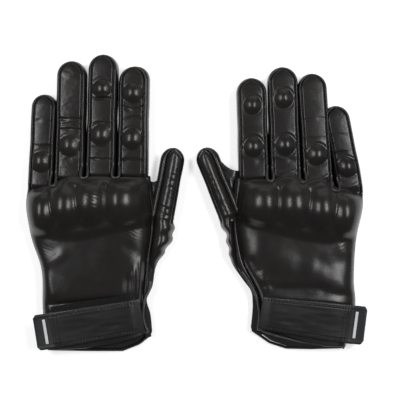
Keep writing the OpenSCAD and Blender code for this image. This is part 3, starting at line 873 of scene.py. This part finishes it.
def makePalmStrip(side, place, look, low, high, name):
    def shape(s, t):
        y = mix(low, high, t)
        a = 2 * s - 1
        w = max(0.3, halfWidth(place, look, min(y, place["length"] - 0.4)) * fingerShape["palmShare"])
        y = min(y, place["length"] - fingerShape["tipInset"])
        u, v = fromFinger(place, a * w, y)
        return inPair(side, u, v, 0.75 + 0.5 * abs(a) ** 4 + 0.12 * ripple(u, v, 6, 20))
    return panel(name, 14, max(12, int((high - low) * 0.6)), shape,
                 fingerShape["palmLeather"])


# bakes a piece's placement into its own mesh
def crossing(piece, side, place, bodyA, bodyB, low, high):
    start = inPair(side, *fromFinger(place, 0, low), 0)
    end = inPair(side, *fromFinger(place, 0, high), 0)
    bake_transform(piece)


def makeFinger(side, finger):
    place = fingerFrame(side, finger)
    look = stall[side][finger]
    node = "%s_%s_" % (side, finger)
    joint = place["joint"]
    halves = (
        {"name": node + "base", "pad": node + "pad", "padded": fingers,
         "bodies": (side + "_hand", node + "lower"),
         "strip": (look["start"] - 1.0, joint), "under": (look["start"], joint),
         "wallLow": look["start"] + look["wallStart"] - 1.0, "bendEnd": 12, "underEnd": 8},
        {"name": node + "tip", "pad": node + "tip_pad", "padded": ("index", "middle"),
         "bodies": (node + "lower", node + "end"),
         "strip": (joint, place["length"] - look["archGap"]), "under": (joint, place["length"] - 2.6),
         "wallLow": joint, "bendEnd": joint + 14, "underEnd": joint + 10},
    )
    for half in halves:
        name = half["name"]
        strip = makeStrip(side, place, look, *half["strip"], name + "_strip")
        crossing(strip, side, place, *half["bodies"], half["strip"][0], half["bendEnd"])
        replaced = [name, half["pad"]] if finger in half["padded"] else [name]
        finishPiece(strip, "glove", None, replaced)
        for wall in makeWalls(side, place, look, name + "_wall", name.split("_")[-1]):
            crossing(wall, side, place, *half["bodies"], half["wallLow"], half["bendEnd"])
            finishPiece(wall, "glove", None)
        under = makePalmStrip(side, place, look, *half["under"], name + "_palm_strip")
        crossing(under, side, place, *half["bodies"], half["under"][0], half["underEnd"])
        finishPiece(under, "palm", None)


webShape = {"left": {"top": 29, "high": 21.0}, "right": {"top": 44, "high": 26.5}, "thickness": 1.0}


def makeThumb(side):
    makeFinger(side, "thumb")
    here = glove[side]
    place = fingerFrame(side, "thumb")
    look = stall[side]["thumb"]
    top = webShape[side]["top"]
    high = webShape[side]["high"]

    # leather between the hand's side and the thumb
    def web(s, t):
        v0 = mix(-14, high, t)
        u0 = along(here["sideSeam"], v0) - 0.6 - 2.4 * smooth(16, 21, v0)
        u1, v1 = fromFinger(place, -halfWidth(place, look, 10) * 0.93, mix(-6, top, t))
        u, v = mix(u0, u1, s), mix(v0, v1, s)
        sag = math.sin(math.pi * s)
        return inPair(side, u, v - 2.2 * sag * t, mix(8.2, 9.6, s) + 0.9 * sag + 0.5 * ripple(u, v, 6, 33))

    piece = panel(side + "_thumb_web", 24, 40, web, webShape["thickness"])
    start = inPair(side, along(here["sideSeam"], 5), 5, 0)
    end = inPair(side, *fromFinger(place, -halfWidth(place, look, 10), 12), 0)
    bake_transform(piece)
    finishPiece(piece, "glove", None)


def makeThumbBall(side):
    here = glove[side]
    place = fingerFrame(side, "thumb")
    look = stall[side]["thumb"]
    edgeU, edgeV = fromFinger(place, halfWidth(place, look, 0) + 0.6, look["start"] + 4)
    innerV = fromFinger(place, -halfWidth(place, look, 0) * 0.9, look["start"] + 2)[1]

    def control(t):
        v = mix(-58, innerV + 1.0, t)
        uIn = along(here["sideSeam"], v) - 0.6
        vOut = mix(-57, edgeV + 1.5, t)
        if vOut > here["thumbSide"][0][0]:
            first = here["thumbSide"][0]
            uOut = mix(first[1], edgeU, smooth(first[0], edgeV, vOut))
        else:
            uOut = along(here["thumbSide"], vOut)
        swell = smooth(0.0, 0.5, t)
        peak = mix(9.6, 17.2, swell) + 0.5 * ripple(uOut, vOut, 9, 30) + 0.3 * math.sin(vOut * 0.5)
        scallop = 0.8 * math.sin(vOut * 0.55 + 1.0) * smooth(0.1, 0.4, t)
        inner = Vector((uIn, v, mix(8.4, 9.8, swell)))
        outer = Vector((uOut + scallop, vOut, 7.0))
        return [inner, inner.lerp(outer, 0.10) + Vector((0, 0, (peak - 8) * 0.6)),
                inner.lerp(outer, 0.42) + Vector((0, 0, peak - 7.6)),
                inner.lerp(outer, 0.78) + Vector((0, 0, (peak - 7.6) * 0.82)),
                outer, outer + Vector((-0.8, 0, -3.8)), outer + Vector((-3.0, 0, -6.0)),
                Vector((uIn + 1.0, v, 0.9))]

    piece = band(side + "_thumb_ball", side, 60, 40, control, webShape["thickness"])
    finishPiece(piece, "glove", side + "_hand", [side + "_thenar_panel"])


# v of the three forks, from the index finger's
forkPlaces = {"left": (20.2, 20.0, 13.4), "right": (17.6, 16.4, 9.4)}
forkShape = {"legTop": 13.0, "legEnd": 5.5, "loop": 3.4, "radius": 1.3, "thinning": 0.4, "wall": 0.8}


# the looped seam that closes the glove between two fingers, with a darker copy of the leather down inside it as
# painted shade for the hollow
def makeForks(side):
    here = glove[side]
    pieces = []
    for number, v in enumerate(forkPlaces[side]):
        legs = []
        for finger, way in ((fingers[number], -1), (fingers[number + 1], 1)):
            place = fingerFrame(side, finger)
            look = stall[side][finger]
            row = []
            for k in range(6):
                y = mix(v + forkShape["legTop"], v + forkShape["legEnd"], k / 5) - place["v"]
                w = halfWidth(place, look, y) - (look["outerBand"] if way > 0 else look["innerBand"]) * 0.55
                spread = 0.9 * smooth(0, 5, k)
                row.append(fromFinger(place, way * (w - spread), y))
            legs.append(row)
        start, stop = legs[0][-1], legs[1][-1]
        around = []
        centre = ((start[0] + stop[0]) / 2, v + forkShape["loop"])
        for k in range(1, 10):
            angle = math.pi * k / 10
            reach = (start[0] - stop[0]) / 2
            around.append((centre[0] + reach * math.cos(angle),
                           centre[1] - forkShape["loop"] * math.sin(angle) ** 0.8))
        route = legs[0] + around + legs[1][::-1]
        count = len(route)
        points = []
        sizes = []
        for k, (pu, pv) in enumerate(route):
            end = min(k, count - 1 - k)
            low = handTop(side, pu, min(pv, along(here["topLine"], pu))) + 0.5
            points.append(inPair(side, pu, pv, mix(15.2, low, smooth(1, 8, end))))
            sizes.append(forkShape["radius"] - forkShape["thinning"] * (1 - smooth(0, 4, end)))
        pieces.append(tube("%s_fork_%d" % (side, number + 1), points, sizes, around=12))
        wallRoute = route[3:-3]

        def control(t, wallRoute=wallRoute):
            at = t * (len(wallRoute) - 1)
            i = min(len(wallRoute) - 2, int(at))
            pu = mix(wallRoute[i][0], wallRoute[i + 1][0], at - i)
            pv = mix(wallRoute[i][1], wallRoute[i + 1][1], at - i)
            return [Vector((pu, pv, 14.0)), Vector((pu, pv + 0.4, 8.0)), Vector((pu, pv + 0.8, 2.0))]
        wall = band("%s_fork_wall_%d" % (side, number + 1), side, 40, 6, control, forkShape["wall"])
        # the wall gets the darker inside leather: painted shade down in the fork
        finishPiece(wall, "inside", side + "_hand")
    for piece in pieces[1:]:
        finishPiece(piece, "binding", side + "_hand")
    finishPiece(pieces[0], "binding", side + "_hand", [side + "_fork_gussets"])


strapShape = {"left": {"rootU": 45.4, "rootV": -94.0, "length": 75.6, "tilt": 9.4, "rise": 3.0,
                       "startWidth": 27.6, "endWidth": 29.2},
              "right": {"rootU": 33.0, "rootV": -91.4, "length": 74.4, "tilt": 7.6, "rise": 3.0,
                        "startWidth": 26.8, "endWidth": 31.6}}
strapLook = {"thickness": 1.7, "tabLength": 14.5, "tabThickness": 2.4, "stripeStart": 4.2, "stripeEnd": 6.6,
             "stitch": 1.5, "stitchGap": 0.9, "thread": 0.55, "stitchRows": (0.80, 0.90), "crown": 0.35,
             "hookStart": 42, "hookEnd": 4, "tape": 0.8, "loopTape": 0.9,
             "loopShows": {"left": 5.0, "right": 0.2}}


# u and v of a point of the strap: x along it from its sewn end, y across it
def strapPlace(side, x, y):
    here = strapShape[side]
    a = math.radians(here["tilt"])
    return (here["rootU"] - x * math.cos(a) - y * math.sin(a),
            here["rootV"] - x * math.sin(a) + y * math.cos(a))


def strapPoint(side, x, y, z):
    return inPair(side, *strapPlace(side, x, y), z)


def strapHeight(side, x, y):
    u, v = strapPlace(side, x, y)
    z = handShape["crown"] - cuffDrop(v) - crownDrop(u)
    z += strapShape[side]["rise"] + 0.3 * math.sin(x * 0.11 + 1.0) + 0.25 * ripple(x, y, 16, 40)
    z -= 1.6 * (1 - smooth(0, 9, x))
    return z


def makeStrap(side):
    here = strapShape[side]
    body = side + "_strap"
    length = here["length"]

    def halfAt(x):
        return mix(here["startWidth"], here["endWidth"], smooth(-10, length, x)) / 2

    half = halfAt(length)

    def leather(s, t):
        x = mix(0, length, 1 - s)
        y = (2 * t - 1) * halfAt(x)
        edge = smooth(0.93, 1.0, abs(2 * t - 1))
        z = strapHeight(side, x, y) + strapLook["crown"] * (1 - (2 * t - 1) ** 2) - 0.45 * edge
        for row in strapLook["stitchRows"]:
            pull = 0.55 + 0.45 * math.sin(2 * math.pi * x / (strapLook["stitch"] + strapLook["stitchGap"]))
            z -= 0.42 * pull * bump(abs(2 * t - 1) - row, 0.034) * smooth(4, 8, x)
        z += 0.25 * ripple(x * 0.25, y, 4, 41) * smooth(2, 14, x) * (1 - smooth(50, 75, x))
        return strapPoint(side, x, y, z)

    piece = panel(body + "_leather", 190, 70, leather, strapLook["thickness"])
    strapPoint(side, -1, 0, 0)
    strapPoint(side, 9, 0, 0)
    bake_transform(piece)
    finishPiece(piece, "strap", None, [side + "_wrist_strap"])

    rows = []
    for way in (-1, 1):
        for share in strapLook["stitchRows"]:
            row = []
            for k in range(60):
                x = mix(5, length - 3, k / 59)
                y = way * share * halfAt(x)
                z = strapHeight(side, x, y) + strapLook["crown"] * (1 - share ** 2) - 0.02
                row.append(strapPoint(side, x, y, z))
            rows.append(row)
    for x in (length - 2.4, length - 5.6):
        row = []
        for k in range(20):
            y = mix(-half + 2.2, half - 2.2, k / 19)
            z = strapHeight(side, x, y) + strapLook["crown"] * (1 - (y / half) ** 2) + 0.04
            row.append(strapPoint(side, x, y, z))
        rows.append(row)
    thread = stitches(body + "_stitching", rows, strapLook["stitch"], strapLook["thread"],
                      strapLook["stitchGap"])
    finishPiece(thread, "thread", body)

    def tab(s, t):
        x = mix(length - 3.0, length + strapLook["tabLength"], 1 - s)
        out = smooth(length + strapLook["tabLength"] - 3.2, length + strapLook["tabLength"], x)
        b = 2 * t - 1
        y = b * (half + 0.3) * (1 - 0.16 * out ** 1.4)
        z = strapHeight(side, x, y) + 0.15 - 0.5 * smooth(0.9, 1.0, abs(b)) - 0.5 * out ** 3
        z -= 0.9 * smooth(length + 2, length - 1.5, x)
        z += 0.35 * smooth(0.80, 0.86, abs(b)) * (1 - smooth(0.93, 0.98, abs(b)))
        return strapPoint(side, x, y, z)

    piece = panel(body + "_pull_tab", 40, 60, tab, strapLook["tabThickness"])
    finishPiece(piece, "rubber", body, [side + "_strap_tab"])

    def stripe(s, t):
        x = mix(length + strapLook["stripeStart"], length + strapLook["stripeEnd"], 1 - s)
        b = 2 * t - 1
        y = b * half * 0.70
        rounded = 1 - abs(2 * s - 1) ** 4
        z = strapHeight(side, x, y) + 0.20 + 0.35 * rounded * (1 - abs(b) ** 16)
        return strapPoint(side, x, y, z)

    piece = panel(body + "_tab_stripe", 8, 60, stripe, 0.4)
    finishPiece(piece, "stripe", body)

    def hook(s, t):
        x = mix(length - strapLook["hookStart"], length - strapLook["hookEnd"], 1 - s)
        y = (2 * t - 1) * (halfAt(x) - 3)
        return strapPoint(side, x, y, strapHeight(side, x, y) - strapLook["thickness"] - 0.15)

    piece = panel(body + "_hook_tape", 40, 20, hook, strapLook["tape"])
    finishPiece(piece, "hook", body, [side + "_hook_patch"])

    def loop(s, t):
        x = mix(4, length - 2, 1 - s)
        y = mix(-halfAt(x) + 1.5, halfAt(x) + strapLook["loopShows"][side], t)
        z = strapHeight(side, x, y) - here["rise"] + 0.9
        return strapPoint(side, x, y, z)

    piece = panel(side + "_loop_tape", 70, 30, loop, strapLook["loopTape"])
    finishPiece(piece, "loop", side + "_hand", [side + "_loop_patch"])


cuffShape = {"slitEnd": {"left": -66, "right": -58}, "piping": 1.25, "palmPiping": 1.2, "gusset": 0.9,
             "gussetTop": -52, "lining": 0.5, "liningLow": -121.5, "liningHigh": 8}


# piping round the wrist opening and the hem, the gusset behind it, and the lining inside
def makeCuff(side):
    here = glove[side]
    hem = []
    cornerU = along(here["littleSide"], hemHeight(side, -36)) + 1.6
    for k in range(50):
        u = mix(cornerU, here["backHem"][-1][0], k / 49)
        hem.append((u, hemHeight(side, u), 15.4 - 0.85 * crownDrop(u)))
    slit = []
    for k in range(40):
        v = mix(here["backHem"][-1][1], cuffShape["slitEnd"][side], k / 39)
        slit.append((along(here["sideSeam"], v), v, mix(12.4, 10.6, smooth(-90, -60, v))))
    route = [inPair(side, u, v, z) for u, v, z in hem + slit]
    piece = tube(side + "_cuff_piping", route, cuffShape["piping"], around=12)
    finishPiece(piece, "binding", side + "_hand", [side + "_cuff_binding"])

    def gusset(t):
        vIn = mix(here["palmHem"][-1][1] - 3.0, cuffShape["gussetTop"], t)
        v = mix(here["palmHem"][-1][1] + 0.5, cuffShape["gussetTop"], t)
        u0 = along(here["sideSeam"], vIn) - 3.5
        u1 = max(u0 + 3.7, along(here["thumbSide"], v) - 1.2 * (1 - smooth(0.0, 0.06, t)))
        return [Vector((u0, vIn, 10.4)), Vector((mix(u0, u1, 0.5), (vIn + v) / 2, 9.6)),
                Vector((u1 - 0.4, v, 8.0)),
                Vector((u1, v, 5.2)), Vector((u1 - 0.8, v, 2.0))]

    piece = band(side + "_wrist_gusset", side, 60, 14, gusset, cuffShape["gusset"])
    # the gusset gets the darker inside leather: painted shade behind the vent
    finishPiece(piece, "inside", side + "_hand")

    edge = []
    for k in range(50):
        u = mix(cornerU + 0.6, here["palmHem"][-1][0], k / 49)
        edge.append(inPair(side, u, hemHeight(side, u, "palmHem"), 2.4))
    piece = tube(side + "_palm_piping", edge, cuffShape["palmPiping"])
    finishPiece(piece, "binding", side + "_hand")

    def sleeve(s, t):
        v = mix(cuffShape["liningLow"], cuffShape["liningHigh"], t)
        uLow = along(here["littleSide"], v) + 3.2
        uHigh = min(along(here["backSeam"], v), along(here["sideSeam"], v)) - 2.4
        shut = 1 - smooth(0.93, 1.0, t) * 0.9
        angle = 2 * math.pi * s
        c, q = math.cos(angle), math.sin(angle)
        across = math.copysign(abs(c) ** 0.6, c)
        upward = math.copysign(abs(q) ** 0.7, q)
        u = mix(uLow, uHigh, 0.5 + 0.5 * across)
        v = mix(max(cuffShape["liningLow"], hemHeight(side, u, "palmHem") + 3.0), cuffShape["liningHigh"],
                t)
        top = handShape["crown"] - cuffDrop(v) - crownDrop(u) - 3.0
        top = mix(top, 9.0, abs(across) ** 6)
        z = mix((top + 2.4) / 2, top if upward > 0 else 2.4, abs(upward) * shut)
        return inPair(side, u, v, z)

    piece = panel(side + "_lining_sleeve", 64, 60, sleeve, cuffShape["lining"])
    finishPiece(piece, "lining", side + "_hand", [side + "_lining"])


for side in sides:
    makeHandBack(side)
    makeGuard(side)
    makeHandSides(side)
    makePalm(side)
    makePalmPatch(side)
    print(side, "hand made")
    for finger in fingers:
        makeFinger(side, finger)
    makeThumb(side)
    makeThumbBall(side)
    makeForks(side)
    print(side, "fingers made")
    makeCuff(side)
    makeStrap(side)
    print(side, "cuff and strap made")


# each lamp: place, size and power
lamps = {
    "key_left": ((-0.58, 0.30, 1.00), (0.26, 0.72), 6.6),
    "key_right": ((0.58, 0.30, 1.00), (0.26, 0.72), 8.0),
    "side_left": ((-1.5, 0.3, 0.5), (0.9, 0.7), 0.45),
    "side_right": ((1.5, 0.3, 0.5), (0.9, 0.7), 0.6),
    "back": ((0.2, 1.6, 0.6), (1.6, 0.5), 2.5),
}
# the camera looks straight down and takes in width metres
studio = {"floorSize": 6, "floorGlow": 0.50, "air": 0.115}
view = {"lens": 85, "sensor": 36, "width": 0.336, "rise": 0.010, "reachLeft": 92, "reachRight": 85,
        "right": 0.0017, "up": 0.0020}


def makeFloor():
    bpy.ops.mesh.primitive_plane_add(size=studio["floorSize"], location=(0, 0, -0.0004))
    floor = bpy.context.active_object
    floor.name = "floor"
    paper = plainMaterial("white floor", (0.88, 0.88, 0.88), 3, 0.0, 0.7, 0.8)
    put(paper.node_tree.nodes["Principled BSDF"], Emission_Color=(1, 1, 1, 1),
        Emission_Strength=studio["floorGlow"])
    floor.data.materials.append(paper)


def makeLamps():
    for name, (place, size, power) in lamps.items():
        light = bpy.data.lights.new(name, "AREA")
        light.shape = "RECTANGLE"
        light.size, light.size_y = size
        light.energy = power
        lamp = bpy.data.objects.new(name, light)
        bpy.context.collection.objects.link(lamp)
        lamp.location = place
        if name.startswith("key"):  # turned about one axis, so the lights on the knuckles stand upright
            lamp.rotation_euler = (0, math.atan2(place[0], place[2]), 0)
        else:
            lamp.rotation_euler = (-Vector(place)).to_track_quat("-Z", "Y").to_euler()
    world = bpy.data.worlds.new("studio")
    world.use_nodes = True
    put(world.node_tree.nodes["Background"], Color=(1, 1, 1, 1), Strength=studio["air"])
    bpy.context.scene.world = world


def makeCamera():
    camera = bpy.data.cameras.new("camera")
    camera.lens = view["lens"]
    camera.sensor_width = view["sensor"]
    eye = bpy.data.objects.new("camera", camera)
    bpy.context.collection.objects.link(eye)
    ends = glove["left"]["middleX"] + view["reachLeft"] + glove["right"]["middleX"] - view["reachRight"]
    eye.location = (ends / 2 * mm + view["right"], glove["left"]["middleY"] * mm + view["up"],
                    view["width"] * view["lens"] / view["sensor"] + view["rise"])
    bpy.context.scene.camera = eye
    bpy.context.scene.view_settings.view_transform = "Standard"


makeFloor()
makeLamps()
makeCamera()
print("studio made")
